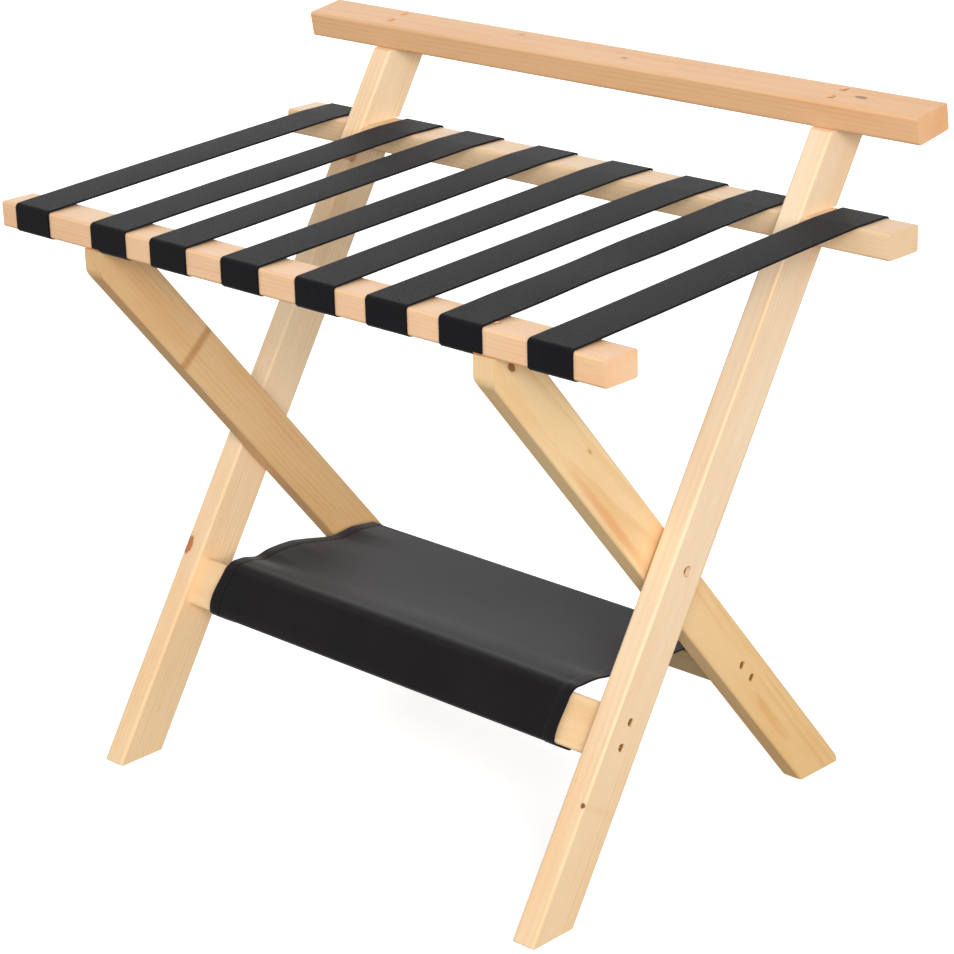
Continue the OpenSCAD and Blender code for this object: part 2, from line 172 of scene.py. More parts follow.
# %% [markdown]
# ## Pine grain
# A board is cut from a trunk, so its grain isn't a picture on a face: it is the same growth
# rings met by every face at its own angle. Long faces show stripes and the ends show arcs.
# The group below works in millimetres in the board's own frame, with Z along the grain. It
# measures the distance from the tree's heart, bends that by slow noise, and cuts it into
# years. Each year fades slowly from pale early wood to darker late wood, then stops sharply.
# Fine fibres and slow clouds of colour come with it. One group serves every board, and each
# board gets its own heart and ring width.

# %% Group: pine grain
grain, g_in, g_out = new_group(
    "pine grain",
    [("Point", VECTOR, (0, 0, 0)), ("Heart", VECTOR, (0, 0, 0)), ("Bulge", FLOAT, 0.0),
     ("Ring", FLOAT, 3.0), ("Sway", FLOAT, 6.0), ("Seed", FLOAT, 0.0)],
    [("Late", FLOAT), ("Fibre", FLOAT), ("Cloud", FLOAT), ("Duct", FLOAT)])
seed_shift = add(grain, "ShaderNodeVectorMath", {0: (31.0, 17.0, 400.0), "Scale": g_in["Seed"]},
                 operation="SCALE").outputs[0]
here = vcalc(grain, "ADD", g_in["Point"], seed_shift)
slow = cloud(grain, vcalc(grain, "MULTIPLY", here, (0.02, 0.02, 0.0035)), 1.0, 1.0)
quick_wave = cloud(grain, vcalc(grain, "MULTIPLY", here, (0.12, 0.12, 0.012)), 1.0, 2.0)
across = vcalc(grain, "MULTIPLY", vcalc(grain, "SUBTRACT", g_in["Point"], g_in["Heart"]),
               (1, 1, 0))
reach = calc(grain, "ADD", vcalc(grain, "LENGTH", across), g_in["Bulge"])
reach = calc(grain, "MULTIPLY_ADD", calc(grain, "SUBTRACT", slow, 0.5), g_in["Sway"], reach)
reach = calc(grain, "MULTIPLY_ADD", quick_wave, 1.3, reach)
year = calc(grain, "DIVIDE", reach, g_in["Ring"])
part = calc(grain, "FRACT", year)
late = calc(grain, "MULTIPLY", fade(grain, part, 0.3, 0.9), fade(grain, part, 1.0, 0.93))
luck = add(grain, "ShaderNodeTexWhiteNoise", {"W": calc(grain, "FLOOR", year)},
           noise_dimensions="1D").outputs["Value"]
late = calc(grain, "MULTIPLY", late, calc(grain, "MULTIPLY_ADD", luck, 0.55, 0.45))
come_and_go = cloud(grain, vcalc(grain, "MULTIPLY", here, (0.05, 0.05, 0.009)), 1.0, 2.0)
late = calc(grain, "MULTIPLY", late, calc(grain, "MULTIPLY_ADD",
            fade(grain, come_and_go, 0.36, 0.62), 0.75, 0.25))
fibre = cloud(grain, vcalc(grain, "MULTIPLY", here, (1.9, 1.9, 0.035)), 1.0, 3.0, 0.6)
patch = cloud(grain, vcalc(grain, "MULTIPLY", here, (0.035, 0.035, 0.006)), 1.0, 2.0)
duct = fade(grain, cloud(grain, vcalc(grain, "MULTIPLY", here, (1.1, 1.1, 0.09)), 1.0, 0.0),
            0.76, 0.84)
for label, value in (("Late", late), ("Fibre", fibre), ("Cloud", patch), ("Duct", duct)):
    grain.links.new(value, g_out[label])
print("pine grain:", len(grain.nodes), "nodes")

# %% [markdown]
# ## Knots
# A knot is a branch that the trunk grew round, so in a board it is a rod of darker wood
# that runs out from the heart, and the rings swell round it. The group measures the distance
# from that rod's axis, squeezed along the grain because most knots are cut at a slant. It
# gives the knot's heart, its dark rim, a warm halo, and the swelling that the grain group
# adds to its rings, which makes the grain lines flow round the knot on their own.

# %% Group: knot
knot, k_in, k_out = new_group(
    "knot",
    [("Point", VECTOR, (0, 0, 0)), ("Centre", VECTOR, (0, 0, 0)), ("Axis", VECTOR, (1, 0, 0)),
     ("Size", FLOAT, 3.0), ("Stretch", FLOAT, 1.5)],
    [("Heart", FLOAT), ("Rim", FLOAT), ("Halo", FLOAT), ("Swell", FLOAT)])
off = vcalc(knot, "SUBTRACT", k_in["Point"], k_in["Centre"])
squeeze = add(knot, "ShaderNodeCombineXYZ", {0: 1.0, 1: 1.0,
              2: calc(knot, "DIVIDE", 1.0, k_in["Stretch"])}).outputs[0]
ragged = cloud(knot, vcalc(knot, "MULTIPLY", k_in["Point"], (0.35, 0.35, 0.12)), 1.0, 2.0)
away = vcalc(knot, "LENGTH", vcalc(knot, "CROSS_PRODUCT",
             vcalc(knot, "MULTIPLY", off, squeeze), k_in["Axis"]))
away = calc(knot, "DIVIDE", away, k_in["Size"])
away = calc(knot, "ADD", away, calc(knot, "MULTIPLY_ADD", ragged, 0.7, -0.35))
knot.links.new(fade(knot, away, 1.1, 0.75), k_out["Heart"])
rim = calc(knot, "ABSOLUTE", calc(knot, "SUBTRACT", away, 0.95))
knot.links.new(fade(knot, rim, 0.35, 0.0), k_out["Rim"])
knot.links.new(fade(knot, away, 2.6, 0.6), k_out["Halo"])
bell = calc(knot, "EXPONENT", calc(knot, "MULTIPLY", calc(knot, "MULTIPLY", away, away), -0.28))
knot.links.new(calc(knot, "MULTIPLY", bell, calc(knot, "MULTIPLY", k_in["Size"], 1.1)),
               k_out["Swell"])
print("knot:", len(knot.nodes), "nodes")

# %% [markdown]
# ## Eased edges
# The boards' corners were rounded over with a small cutter and sanded by hand. That leaves
# the rounding a little smoother and warmer than the flats, and slightly uneven. Distance
# from the middle of the board, less its half sizes, says how far into a corner a point is.

# %% Group: eased edge
eased, e_in, e_out = new_group(
    "eased edge",
    [("Point", VECTOR, (0, 0, 0)), ("Middle", VECTOR, (0, 0, 0)), ("Half", VECTOR, (11, 20, 0)),
     ("Round", FLOAT, 2.5)],
    [("Edge", FLOAT)])
depth = vcalc(eased, "SUBTRACT",
              vcalc(eased, "ABSOLUTE", vcalc(eased, "SUBTRACT", e_in["Point"], e_in["Middle"])),
              e_in["Half"])
split = add(eased, "ShaderNodeSeparateXYZ", {0: depth}).outputs
nearest = calc(eased, "DIVIDE", calc(eased, "MINIMUM", split[0], split[1]), e_in["Round"])
wander = cloud(eased, vcalc(eased, "MULTIPLY", e_in["Point"], (0.2, 0.2, 0.05)), 1.0, 2.0)
eased.links.new(fade(eased, calc(eased, "MULTIPLY_ADD", wander, 0.8, nearest), -1.0, 0.3),
                e_out["Edge"])
print("eased edge:", len(eased.nodes), "nodes")

# %% [markdown]
# ## The pine finish
# The rack is pale pine under a thin satin lacquer. The legs are creamy, the rails and the
# handrail pinker. Late wood is a little darker, glossier and prouder than early wood,
# because sanding cuts the soft part deeper. End grain soaks up more lacquer, so it turns
# duller and warmer. A Mapping node turns each board's place into its own frame in
# millimetres, so a leaning leg and a level rail use the same graph.

# %% Function: the finish for one board
def pine(node, origin, turn, middle, half, heart, pale, dark, ring=3.2, sway=6.0, seed=0.0,
         strength=0.45, warm=(0.93, 0.66, 0.42, 1.0), knots=(), streaks=(), foot=0.0):
    """Colour is pale to dark by late wood, fainter on end grain and darker and warmer towards a
    leg's foot, which is painted shade, times fibres and clouds, then knots and streaks. Height
    for the bump is late wood and fibres, with knots standing slightly proud."""
    m, t, shader = new_finish("pine " + node)
    place_of = add(t, "ShaderNodeTexCoord")
    point = add(t, "ShaderNodeMapping", {"Vector": place_of.outputs["Object"],
                "Location": origin, "Rotation": turn, "Scale": (0.001,) * 3},
                vector_type="TEXTURE").outputs[0]
    marks = [place(t, knot, {"Point": point, "Centre": c, "Axis": a, "Size": s, "Stretch": l})
             for c, a, s, l, *_ in (*knots, *streaks)]
    bulge = 0.0
    for k in marks[:len(knots)]:
        bulge = calc(t, "ADD", k["Swell"], bulge)
    g = place(t, grain, {"Point": point, "Heart": heart, "Bulge": bulge, "Ring": ring,
                         "Sway": sway, "Seed": seed})
    edge = place(t, eased, {"Point": point, "Middle": middle, "Half": half})["Edge"]
    spin = add(t, "ShaderNodeVectorRotate", {"Vector": place_of.outputs["Normal"],
               "Rotation": turn}, rotation_type="EULER_XYZ", invert=True).outputs[0]
    end = fade(t, calc(t, "ABSOLUTE", add(t, "ShaderNodeSeparateXYZ", {0: spin}).outputs[2]),
               0.55, 0.85)
    depth_of_ring = calc(t, "MULTIPLY_ADD", end, -0.5 * strength, strength)
    ringed = calc(t, "MULTIPLY", g["Late"], depth_of_ring)
    colour = mix(t, ringed, pale, dark)
    # Painted shade: towards each leg's foot the colour is darkened and warmed, as if the light
    # fell off low down.
    painted_foot_shade = fade(t, add(t, "ShaderNodeSeparateXYZ", {0: point}).outputs[2], 380.0, 60.0)
    colour = mix(t, calc(t, "MULTIPLY", painted_foot_shade, foot), colour, (0.93, 0.85, 0.72, 1), "MULTIPLY")
    colour = mix(t, calc(t, "MULTIPLY", fade(t, g["Cloud"], 0.4, 0.75), 0.3), colour, warm,
                 "MULTIPLY")
    fine = calc(t, "MULTIPLY_ADD", g["Fibre"], 0.16, 0.92)
    fine = add(t, "ShaderNodeCombineXYZ", {0: fine, 1: fine, 2: fine}).outputs[0]
    colour = mix(t, 1.0, colour, fine, "MULTIPLY")
    colour = mix(t, calc(t, "MULTIPLY", g["Duct"], 0.25), colour, (0.42, 0.22, 0.08, 1))
    colour = mix(t, calc(t, "MULTIPLY", edge, 0.22), colour, (0.95, 0.80, 0.60, 1), "MULTIPLY")
    for k, (c, a, s, l, hue, share) in zip(marks[len(knots):], streaks):
        colour = mix(t, calc(t, "MULTIPLY", k["Halo"], share), colour, hue)
    for k, (c, a, s, l, hue, share) in zip(marks, knots):
        colour = mix(t, calc(t, "MULTIPLY", k["Halo"], share * 0.35), colour,
                     (0.80, 0.45, 0.20, 1))
        colour = mix(t, calc(t, "MULTIPLY", k["Heart"], share), colour, hue)
        colour = mix(t, calc(t, "MULTIPLY", k["Rim"], share * 0.6), colour,
                     tuple(0.45 * v for v in hue[:3]) + (1,))
    colour = mix(t, calc(t, "MULTIPLY", end, 0.5), colour, (1.0, 0.95, 0.92, 1), "MULTIPLY")
    t.links.new(colour, shader.inputs["Base Color"])
    rough = calc(t, "MULTIPLY_ADD", g["Late"], -0.08, 0.5)
    rough = calc(t, "MULTIPLY_ADD", g["Fibre"], 0.1, rough)
    rough = calc(t, "MULTIPLY_ADD", end, 0.15, rough)
    t.links.new(calc(t, "MULTIPLY_ADD", edge, 0.04, rough), shader.inputs["Roughness"])
    tall = calc(t, "MULTIPLY_ADD", g["Late"], 0.5, calc(t, "MULTIPLY", g["Fibre"], 0.5))
    for k in marks[:len(knots)]:
        tall = calc(t, "MULTIPLY_ADD", k["Heart"], 0.6, tall)
    bump = add(t, "ShaderNodeBump", {"Strength": 0.35, "Distance": 0.00025, "Height": tall})
    t.links.new(bump.outputs[0], shader.inputs["Normal"])
    shader.inputs["Specular IOR Level"].default_value = 0.32
    dress(node, m)


def dress(node, finish):
    """Gives one of the solids its finish in place of the plain one it came with."""
    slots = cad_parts[node].data.materials
    slots.clear()
    slots.append(finish)


print("pine finish ready")

# %% [markdown]
# ## Cutting the boards
# Each leg's frame starts at the outer corner of its foot, with X through the thickness, Y
# across the width and Z up the leg, so a knot's place reads like a tape measure laid along
# the board. The rails lie along X, so theirs starts at their middle and is turned to match.
# The knots are where this rack has them: a red one low on the left long leg, a dark one high
# on the right short leg, small ones on the handrail, and two resin streaks.

# %% Finishes for the legs
def middle_of(node):
    """The middle of a solid's box."""
    low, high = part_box(node)
    return (low + high) / 2


long_lean, short_lean = radians(32.25), radians(39.2)
toe = (-0.21285, 0.0)      # y and z of a long leg's toe
heel = (0.1639, 0.0)      # and of a short leg's heel, where their boards' corners would be
amber = tone(226, 128, 58)
leg_late = tone(236, 186, 122)

# In the calls below, foot sets how strongly painted shade darkens each leg towards its foot.
for side, x in (("left", -0.251), ("right", 0.251)):
    pale = tone(243, 217, 183) if side == "right" else tone(246, 219, 182)
    knots = {
        "left": [((-7.2, 0, 208.9), (0, 1, 0), 4.2, 1.9, tone(190, 104, 52), 0.9),
                 ((11, 3, 591), (0.7, 0.7, 0), 2.6, 1.8, tone(200, 128, 72), 0.6)],
        "right": [((9.0, 0, 120.9), (0, 1, 0), 1.5, 1.4, tone(96, 56, 22), 0.9)]}[side]
    pine("long_leg_" + side, (x, *toe), (-long_lean, 0, 0), (0, 21.25, 0), (11, 21.25, 0),
         (-38, 74, 0) if side == "right" else (52, 66, 0), pale, leg_late, 3.4, 7.0,
         1.0 if side == "right" else 2.0, 0.4, knots=knots, foot=0.75)
for side, x in (("left", -0.2255), ("right", 0.2255)):
    if side == "right":
        knots = [((10.5, 22, 592), (1, 0.1, 0), 2.8, 1.6, tone(140, 84, 42), 0.9),
                 ((10.5, 31, 468), (1, 0, 0), 1.2, 2.0, tone(196, 130, 70), 0.5)]
        streaks = [((10.5, 8, 407), (1, 0, 0), 2.3, 14.0, amber, 0.45),
                   ((10.5, 33, 300), (1, 0, 0), 2.2, 12.0, amber, 0.2)]
        pale, dark = tone(240, 208, 158), tone(226, 166, 92)
    else:
        knots = []
        streaks = [((10.5, 20, 467), (0, 1, 0.02), 1.6, 1.6, tone(176, 118, 66), 0.6)]
        pale, dark = tone(226, 188, 138), tone(206, 152, 92)
    pine("short_leg_" + side, (x, *heel), (short_lean, 0, 0), (0, 21.75, 0),
         (10.5, 21.75, 0), (-44, 12, 0) if side == "right" else (40, 60, 0), pale, dark,
         3.8, 9.0, 3.0 if side == "right" else 4.0, 0.42, knots=knots, streaks=streaks,
         foot=0.9)
print("legs finished")

# %% Finishes for the rails and stretchers
along_x = (0, pi / 2, 0)
rail_looks = {
    # node: half sizes up and across, heart, pale, late wood, ring, seed, knots
    "handrail": ((11.5, 20, 0), (60, 34, 0), tone(233, 186, 139), tone(210, 150, 97), 3.6, 5.0,
                 [((-11.5, 7.5, -103), (1, 0, 0), 2.0, 1.4, tone(186, 140, 100), 0.6),
                  ((-11.5, -3.5, 27), (1, 0, 0), 2.0, 1.5, tone(186, 134, 92), 0.7),
                  ((-11.5, -0.9, 275), (1, 0, 0), 2.2, 2.4, tone(160, 112, 74), 0.85)]),
    "rear_rail": ((11.25, 19.5, 0), (-48, 30, 0), tone(235, 205, 166), tone(214, 164, 112),
                  3.0, 6.0, []),
    "front_rail": ((11.25, 18, 0), (44, -52, 0), tone(241, 201, 160), tone(228, 172, 120), 2.8,
                   7.0, []),
    "front_stretcher": ((18, 21, 0), (30, 60, 0), tone(240, 205, 158), tone(222, 168, 108), 3.0,
                        8.0, []),
    # The rear stretcher's two tones are darker than the other boards': painted shade, for its
    # place low down under the shelf cloth.
    "rear_stretcher": ((18, 21, 0), (40, -48, 0), tone(206, 176, 128), tone(186, 142, 90), 3.0,
                       9.0, []),
}
for node, (half, heart, pale, dark, ring, seed, knots) in rail_looks.items():
    pine(node, tuple(middle_of(node)), along_x, (0, 0, 0), half, heart, pale, dark, ring, 5.0,
         seed, 0.42, knots=knots)
print("rails finished:", ", ".join(rail_looks))

# %% [markdown]
# ## Screws, staples and spacers
# The screws are zinc plated and sit a little below the wood. Plating is never even: it has
# a faint warm cast, small clouds of haze, and fine turning marks. The staples are bright
# wire, and the two spacers between the legs are milky nylon. Metal needs little colour and
# much roughness change, so one plating group drives both.

# %% Group and finishes: plated steel and nylon
plate, p_in, p_out = new_group("plating", [("Point", VECTOR, (0, 0, 0))],
                               [("Haze", FLOAT), ("Scratch", FLOAT)])
plate.links.new(fade(plate, cloud(plate, p_in["Point"], 260.0, 3.0), 0.35, 0.7), p_out["Haze"])
thin = vcalc(plate, "MULTIPLY", p_in["Point"], (900.0, 5200.0, 2100.0))
plate.links.new(fade(plate, cloud(plate, thin, 1.0, 2.0), 0.5, 0.75), p_out["Scratch"])


def plated(name, bright, hazy, low, high, metallic=1.0):
    """Haze and fine scratches mix two colours and raise the roughness from low to high."""
    m, t, shader = new_finish(name)
    g = place(t, plate, {"Point": add(t, "ShaderNodeTexCoord").outputs["Object"]})
    t.links.new(mix(t, g["Haze"], bright, hazy), shader.inputs["Base Color"])
    worn = calc(t, "MULTIPLY_ADD", g["Scratch"], 0.5, calc(t, "MULTIPLY", g["Haze"], 0.5))
    t.links.new(calc(t, "MULTIPLY_ADD", worn, high - low, low), shader.inputs["Roughness"])
    bump = add(t, "ShaderNodeBump", {"Strength": 0.2, "Distance": 0.00005,
               "Height": g["Scratch"]})
    t.links.new(bump.outputs[0], shader.inputs["Normal"])
    shader.inputs["Metallic"].default_value = metallic
    return m


zinc = plated("zinc plated steel", tone(190, 164, 120), tone(156, 130, 90), 0.28, 0.5)
wire = plated("staple wire", tone(200, 202, 206), tone(168, 170, 174), 0.22, 0.42)
nylon = plated("milky nylon", tone(236, 234, 226), tone(222, 218, 206), 0.4, 0.55, 0.0)
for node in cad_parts:
    if "staples" in node:
        dress(node, wire)
    elif "washer" in node:
        dress(node, nylon)
    elif "screw" in node:
        dress(node, zinc)
print("metal and nylon finished")

# %% [markdown]
# ## Bands that follow a path
# Webbing and shelf cloth are both thin sheets bent round corners. Either could be a flat
# plane with a Solidify modifier, but the selvedge of webbing is rounded and its corners are
# soft, so here the sheet's own cross-section is carried along its path instead. First the
# path: straight runs, with each corner turned by an arc that touches both of them.

# %% Function: a path with rounded corners
def rounded(corners, radii, step=0.0015):
    """Each corner is cut back by radius times the tangent of half its turn, and an arc of
    that radius joins the cuts. The result is then walked in equal steps."""
    c = np.array(corners, float)
    line = [c[0]]
    for before, at, after, r in zip(c[:-2], c[1:-1], c[2:], radii):
        a, b = (before - at), (after - at)
        a, b = a / np.linalg.norm(a), b / np.linalg.norm(b)
        turn = pi - np.arccos(np.clip(a @ b, -1, 1))
        cut = r * np.tan(turn / 2)
        hub = at + (a + b) / np.linalg.norm(a + b) * r / np.cos(turn / 2)
        s = np.linspace(0, 1, 9)[:, None]
        start, end = at + a * cut - hub, at + b * cut - hub
        arc = (np.sin((1 - s) * turn) * start + np.sin(s * turn) * end) / np.sin(turn)
        line.extend(hub + arc)
    line.append(c[-1])
    line = np.array(line)
    gone = np.concatenate([[0], np.cumsum(np.linalg.norm(np.diff(line, axis=0), axis=1))])
    keep = np.concatenate([[True], np.diff(gone) > 1e-7])
    line, gone = line[keep], gone[keep]
    walked = np.linspace(0, gone[-1], int(gone[-1] / step) + 2)
    walked = np.unique(np.round(np.concatenate([walked, gone]), 7))
    return np.stack([np.interp(walked, gone, line[:, i]) for i in (0, 1)], 1), walked


def outward(line):
    """The unit normal of a path in the Y-Z plane: its direction turned a quarter turn left."""
    d = np.gradient(line, axis=0)
    d /= np.linalg.norm(d, axis=1)[:, None]
    return np.stack([-d[:, 1], d[:, 0]], 1)


test_line, test_gone = rounded([(0, 0), (0.1, 0), (0.1, 0.1)], [0.02])
print("a right angle with a 20 mm corner:", round(test_gone[-1] * 1000, 2), "mm")

# %% [markdown]
# The cross-section is a closed loop: over the top, round one edge, back underneath and round
# the other. Point j of the top and point j from the end lie over each other, so the two ends
# of the band close with a neat row of four-sided faces.

# %% Functions: a closed band from rows of loops
def band_mesh(name, rows, uv):
    """rows[r, j] is point j of the loop at step r. Faces join neighbouring rows, and the two
    end loops are closed by joining each top point to the point under it."""
    r, n = rows.shape[:2]
    i = np.arange((r - 1) * n).reshape(r - 1, n)
    j = np.roll(i, -1, axis=1)
    sides = np.stack([i, j, j + n, i + n], -1).reshape(-1, 4)
    k = np.arange(n // 2 - 1)
    first = np.stack([k, n - 1 - k, n - 2 - k, k + 1], -1)
    last = np.stack([k, k + 1, n - 2 - k, n - 1 - k], -1) + (r - 1) * n
    faces = np.concatenate([sides, first, last])
    mesh = bpy.data.meshes.new(name)
    mesh.from_pydata(rows.reshape(-1, 3).tolist(), [], faces.tolist())
    layer = mesh.uv_layers.new(name="cloth")
    corner = np.zeros(len(mesh.loops), np.int32)
    mesh.loops.foreach_get("vertex_index", corner)
    layer.data.foreach_set("uv", uv.reshape(-1, 2)[corner].astype(np.float32).ravel())
    mesh.polygons.foreach_set("use_smooth", np.ones(len(faces), bool))
    mesh.update()
    obj = bpy.data.objects.new(name, mesh)
    bpy.context.collection.objects.link(obj)
    return obj


def flat_loop(across, thick):
    """x across and height h of a loop: the top run, then the same run back underneath. The
    first and last points of each run lie on a half circle, so the edges are round."""
    r = thick / 2
    a = np.radians([22.5, 67.5])
    low, high = across[0], across[-1]
    x = np.concatenate([low + r - r * np.cos(a), across[1:-1], high - r + r * np.cos(a[::-1])])
    h = np.concatenate([r * np.sin(a), np.full(len(across) - 2, r), r * np.sin(a[::-1])])
    return np.concatenate([x, x[::-1]]), np.concatenate([h, -h[::-1]])


loop_x, loop_h = flat_loop(np.linspace(-0.022, 0.022, 7), 0.0014)
print("loop of", len(loop_x), "points")

# %% [markdown]
# ## Webbing and its weave
# Webbing is woven flat on a narrow loom: thick warp yarns run along it, a thinner weft
# crosses over and under them, and the weft turns back at each edge into a smooth selvedge.
# The weave is far too fine to model yarn by yarn, so it is a bump pattern on the band's own
# U and V, which are metres across and along it. That keeps the yarns square to the edges
# round every corner. Its height also darkens the gaps between yarns, as painted shade. Shelf
# canvas is the same thing with finer, even yarns.

# %% Group: weave
weave, w_in, w_out = new_group(
    "weave",
    [("UV", VECTOR, (0, 0, 0)), ("Across", FLOAT, 0.0012), ("Along", FLOAT, 0.0012)],
    [("Height", FLOAT), ("Yarn", FLOAT), ("Fuzz", FLOAT)])
flat = add(weave, "ShaderNodeSeparateXYZ", {0: w_in["UV"]}).outputs
ends = calc(weave, "DIVIDE", flat[0], w_in["Across"])
picks = calc(weave, "DIVIDE", flat[1], w_in["Along"])
odd = calc(weave, "MODULO", calc(weave, "ABSOLUTE", calc(weave, "FLOOR", ends)), 2.0)
warp = calc(weave, "ABSOLUTE", calc(weave, "SINE", calc(weave, "MULTIPLY", ends, pi)))
beat = calc(weave, "SINE", calc(weave, "MULTIPLY", calc(weave, "ADD", picks, odd), pi))
over = calc(weave, "MULTIPLY_ADD", beat, 0.5, 0.5)
weave.links.new(calc(weave, "MULTIPLY", calc(weave, "POWER", warp, 0.6),
                     calc(weave, "MULTIPLY_ADD", over, 0.7, 0.3)), w_out["Height"])
yarn = add(weave, "ShaderNodeTexWhiteNoise", {"W": calc(weave, "FLOOR", ends)},
           noise_dimensions="1D").outputs["Value"]
weave.links.new(yarn, w_out["Yarn"])
weave.links.new(cloud(weave, w_in["UV"], 900.0, 3.0, 0.7), w_out["Fuzz"])
print("weave:", len(weave.nodes), "nodes")

# %% Function: a woven finish
def woven(name, dark, light, across, along, rough, sheen, depth, worn):
    """Colour is dark in the gaps between yarns and light on top of them, which is painted shade,
    a little different on each yarn, with slow patches where handling has dulled it."""
    m, t, shader = new_finish(name)
    uv = add(t, "ShaderNodeUVMap", uv_map="cloth").outputs[0]
    g = place(t, weave, {"UV": uv, "Across": across, "Along": along})
    # Painted shade: three quarters of this share is the weave's height, which darkens the gaps
    # between yarns; the rest is each yarn's own tone.
    top = calc(t, "MULTIPLY_ADD", g["Yarn"], 0.25, calc(t, "MULTIPLY", g["Height"], 0.75))
    colour = mix(t, top, dark, light)
    point = add(t, "ShaderNodeTexCoord").outputs["Object"]
    dust = cloud(t, point, 14.0, 4.0, 0.6)
    colour = mix(t, calc(t, "MULTIPLY", fade(t, dust, 0.42, 0.78), 0.5), colour, worn)
    t.links.new(colour, shader.inputs["Base Color"])
    t.links.new(calc(t, "MULTIPLY_ADD", g["Fuzz"], 0.12, rough), shader.inputs["Roughness"])
    tall = calc(t, "MULTIPLY_ADD", g["Fuzz"], 0.15, g["Height"])
    bump = add(t, "ShaderNodeBump", {"Strength": 0.5, "Distance": depth, "Height": tall})
    t.links.new(bump.outputs[0], shader.inputs["Normal"])
    shader.inputs["Specular IOR Level"].default_value = 0.14
    shader.inputs["Sheen Weight"].default_value = sheen
    shader.inputs["Sheen Roughness"].default_value = 0.45
    return m


webbing = woven("black webbing", tone(6, 6, 8), tone(16, 13, 18), 0.0013, 0.0011, 0.74, 0.08,
                0.00035, tone(19, 17, 21))
canvas = woven("charcoal canvas", tone(11, 10, 12), tone(23, 19, 21), 0.0006, 0.0006, 0.76, 0.15,
               0.00015, tone(29, 24, 23))
thread = woven("black sewing thread", tone(14, 14, 15), tone(34, 33, 35), 0.0004, 0.0006, 0.6,
               0.2, 0.0001, tone(40, 38, 38))
print("woven finishes ready")

# %% [markdown]
# ## The eight straps
# Each strap is stapled under the front rail, comes up its front face, runs taut from that
# rail's front edge to the rear rail's front edge, lies flat on the rear rail and is stapled
# behind it. Because it is pulled straight, it leaves a thin wedge of shadow over the front
# rail's back edge. The path comes from the two rails' boxes. Straps 2 and 7 cross the short
# legs' tops, so their tucked ends are notched: past the notch every row stops at the rail's
# lower edge.

# %% Make the straps
front_low, front_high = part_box("front_rail")
rear_low, rear_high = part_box("rear_rail")
tape, clear = 0.0014, 0.0003
leg_side = 0.2146         # x where a short leg starts, less the gap left round it
lift = clear + tape / 2
strap_line, strap_gone = rounded(
    [(front_low.y + 0.024, front_low.z - lift), (front_low.y - lift, front_low.z - lift),
     (front_low.y - lift, front_high.z + lift), (rear_low.y, rear_high.z + lift),
     (rear_high.y + lift, rear_high.z + lift), (rear_high.y + lift, rear_high.z - 0.018)],
    [0.0034, 0.0034, 0.06, 0.0034])
rail_top = front_high.z + lift
notch = strap_gone[np.argmax(strap_line[:, 1] > front_low.z - lift + 0.0028)]
span_start = strap_gone[np.argmax(strap_line[:, 1] > rail_top - 0.0001)]
span_end = strap_gone[np.argmax(strap_line[:, 0] > rear_low.y)]


def on_path(line, gone, s):
    """The path's point and normal at each distance in s, which may have any shape."""
    n = outward(line)
    return [np.interp(s, gone, column) for column in (*line.T, *n.T)]


def strap(number):
    """x is the strap's middle plus the place across it plus a slow drift, and y and z are
    the path plus the loop's height along the normal. The middle is crowned a little where
    the strap hangs free: crown times (1 - across squared) times sin(pi q). Straps 4 and 6
    lie slightly askew, and every strap is pressed flat just past the front rail's edge."""
    low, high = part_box(f"strap_{number}")
    middle, half = (low.x + high.x) / 2, (high.x - low.x) / 2
    luck = np.random.default_rng(40 + number).normal(0, 1, 6)
    across = np.linspace(-half, half, 27)
    cut = {2: (-1, -leg_side), 7: (1, leg_side)}.get(number)
    if cut:
        across = np.unique(np.append(across, [cut[1] - middle, cut[1] - middle + cut[0] * 0.0002]))
    x, h = flat_loop(across, tape)
    s = np.repeat(strap_gone[:, None], len(x), 1)
    if cut:
        over = cut[0] * (x + middle - cut[1]) > 0.0001
        s = np.where(over[None, :] & (s < notch), notch + (s - notch) * 0.0005, s)
    y, z, ny, nz = on_path(strap_line, strap_gone, s)
    q = np.clip((strap_gone - span_start) / (span_end - span_start), 0, 1)[:, None]
    hang = np.sin(pi * q)
    u = x[None, :] / half
    slant = {4: 0.001, 6: 0.004}.get(number, 0.0) * (q - 0.5)
    drift = slant + 0.0006 * luck[0] * hang + 0.0004 * luck[1] * np.sin(2 * pi * q)
    out = h[None, :] + 0.00045 * hang * (1 - u ** 2)
    out = out + 0.0003 * hang * u * luck[2] * np.sin(pi * q * (2 + abs(luck[3])))
    selvedge = np.clip((abs(u) - 0.93) / 0.05, 0, 1) * 0.0001 * np.sign(h[None, :])
    out = out + selvedge
    tuck = np.clip((notch - s) / 0.002, 0, 1) * np.clip((s - notch + 0.009) / 0.004, 0, 1)
    out = out - tuck * (0.45 * h[None, :] + 0.0005)
    rows = np.stack([middle + x[None, :] + drift + 0 * y, y + ny * out, z + nz * out], -1)
    uv = np.stack([np.broadcast_to(x[None, :] + half, s.shape), s], -1)
    piece = band_mesh(f"webbing_{number}", rows, uv)
    piece.data.materials.append(webbing)
    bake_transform(piece)
    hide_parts(f"strap_{number}")
    return piece


straps = [strap(n) for n in range(1, 9)]
print(len(straps), "straps, each", round(strap_gone[-1] * 1000), "mm long,",
      len(straps[0].data.polygons), "faces")

# %% [markdown]
# ## The shelf cloth
# The shelf is one piece of canvas with a hem down each side. It is stapled behind the front
# stretcher, passes under and over it, and goes straight across to the rear stretcher's top
# edge. It isn't tight: it bellies out in front of the front stretcher, more at the left,
# rises a little just behind it, and its free side edges curl in slow waves. A simulation
# could make such waves but not these ones, so the surface is the taut path plus a height
# that is written down along each side edge and fades towards the middle.

